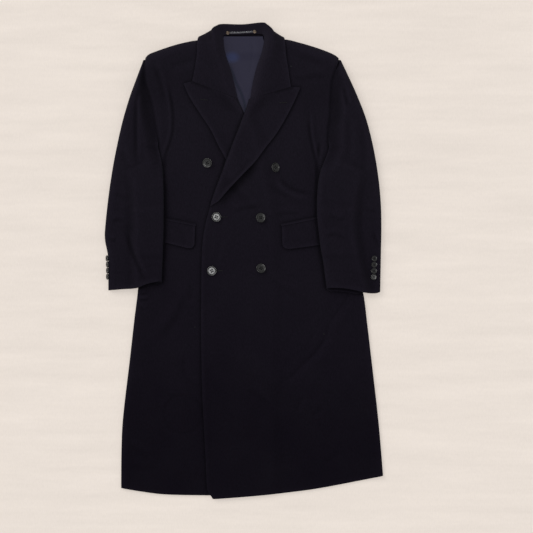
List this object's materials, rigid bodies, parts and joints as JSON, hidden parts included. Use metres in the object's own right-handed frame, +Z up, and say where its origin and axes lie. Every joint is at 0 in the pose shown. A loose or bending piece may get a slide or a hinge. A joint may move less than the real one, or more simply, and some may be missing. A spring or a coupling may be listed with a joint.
{
  "type": "double-breasted coat",
  "caption": "Long double-breasted tailored coat laid flat on its back, with peak lapels, a turned collar, flapped hip pockets and two-piece sleeves.",
  "frame": {"origin": "on the surface the coat lies on, under the middle of its outline", "axes": "+Y runs up the coat to the collar, +X to the wearer's left sleeve, +Z up from the surface"},
  "size_m": [0.7087, 1.2129, 0.041],
  "materials": {
    "cloth": "soft brushed wool",
    "lining": "satin",
    "horn": "polished dark horn",
    "chain": "satin",
    "plate": "dull"
  },
  "bodies": {
    "root": {"back": "cloth", "back_lining": "lining", "front_right": "cloth", "lapel_right": "cloth", "front_left": "cloth", "lapel_left": "cloth", "collar": "cloth", "flap_right": "cloth", "flap_left": "cloth", "jetting_right": "cloth", "jetting_left": "cloth", "undersleeve_right": "cloth", "topsleeve_right": "cloth", "undersleeve_left": "cloth", "topsleeve_left": "cloth", "front_button_1": "horn", "front_button_2": "horn", "front_button_3": "horn", "front_button_4": "horn", "front_button_5": "horn", "front_button_6": "horn", "cuff_button_left_1": "horn", "cuff_button_left_2": "horn", "cuff_button_left_3": "horn", "cuff_button_left_4": "horn", "cuff_button_right_1": "horn", "cuff_button_right_2": "horn", "cuff_button_right_3": "horn", "cuff_button_right_4": "horn", "hanger_plate_right": "plate", "hanger_plate_left": "plate", "hanger_chain": "chain"}
  },
  "joints": []
}
